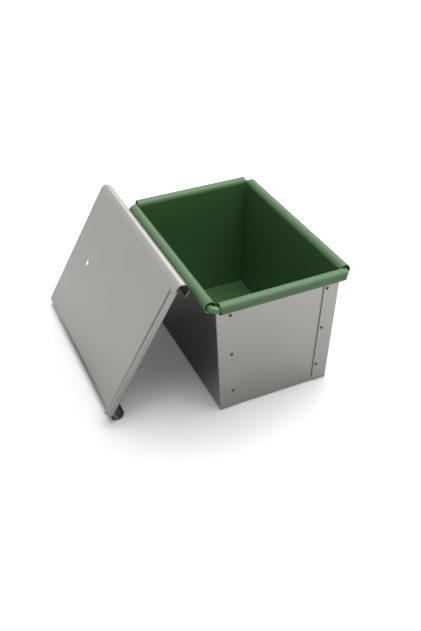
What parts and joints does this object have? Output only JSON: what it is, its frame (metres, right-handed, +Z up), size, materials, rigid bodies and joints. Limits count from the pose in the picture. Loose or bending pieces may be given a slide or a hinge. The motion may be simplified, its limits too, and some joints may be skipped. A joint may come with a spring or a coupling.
{
  "type": "loaf pan with sliding lid",
  "caption": "Deep rectangular loaf pan of folded steel with a wire-rolled rim and riveted corner flaps, and its flat lid with hook rails leaning on one side.",
  "frame": {"origin": "middle of the pan's flat underside", "axes": "+Z up, +Y along the pan towards its back end, +X across it, away from the lid"},
  "size_m": [0.21, 0.2239, 0.1188],
  "materials": {
    "steel_sheet": "satin",
    "coated_wire": "satin",
    "rivet_steel": "satin",
    "lid_steel": "satin"
  },
  "bodies": {
    "pan": {"body_sheet": "steel_sheet", "rim_wire": "coated_wire", "front_left_rivet_1": "rivet_steel", "front_left_rivet_2": "rivet_steel", "front_left_rivet_3": "rivet_steel", "front_right_rivet_1": "rivet_steel", "front_right_rivet_2": "rivet_steel", "front_right_rivet_3": "rivet_steel", "back_left_rivet_1": "rivet_steel", "back_left_rivet_2": "rivet_steel", "back_left_rivet_3": "rivet_steel", "back_right_rivet_1": "rivet_steel", "back_right_rivet_2": "rivet_steel", "back_right_rivet_3": "rivet_steel"},
    "lid": {"lid": "lid_steel"}
  },
  "joints": [
    {"name": "lid_slide", "type": "slide", "parent": "pan", "child": "lid", "axis": [0, 1, 0], "range_m": [-0.0352, 0.1269]}
  ]
}
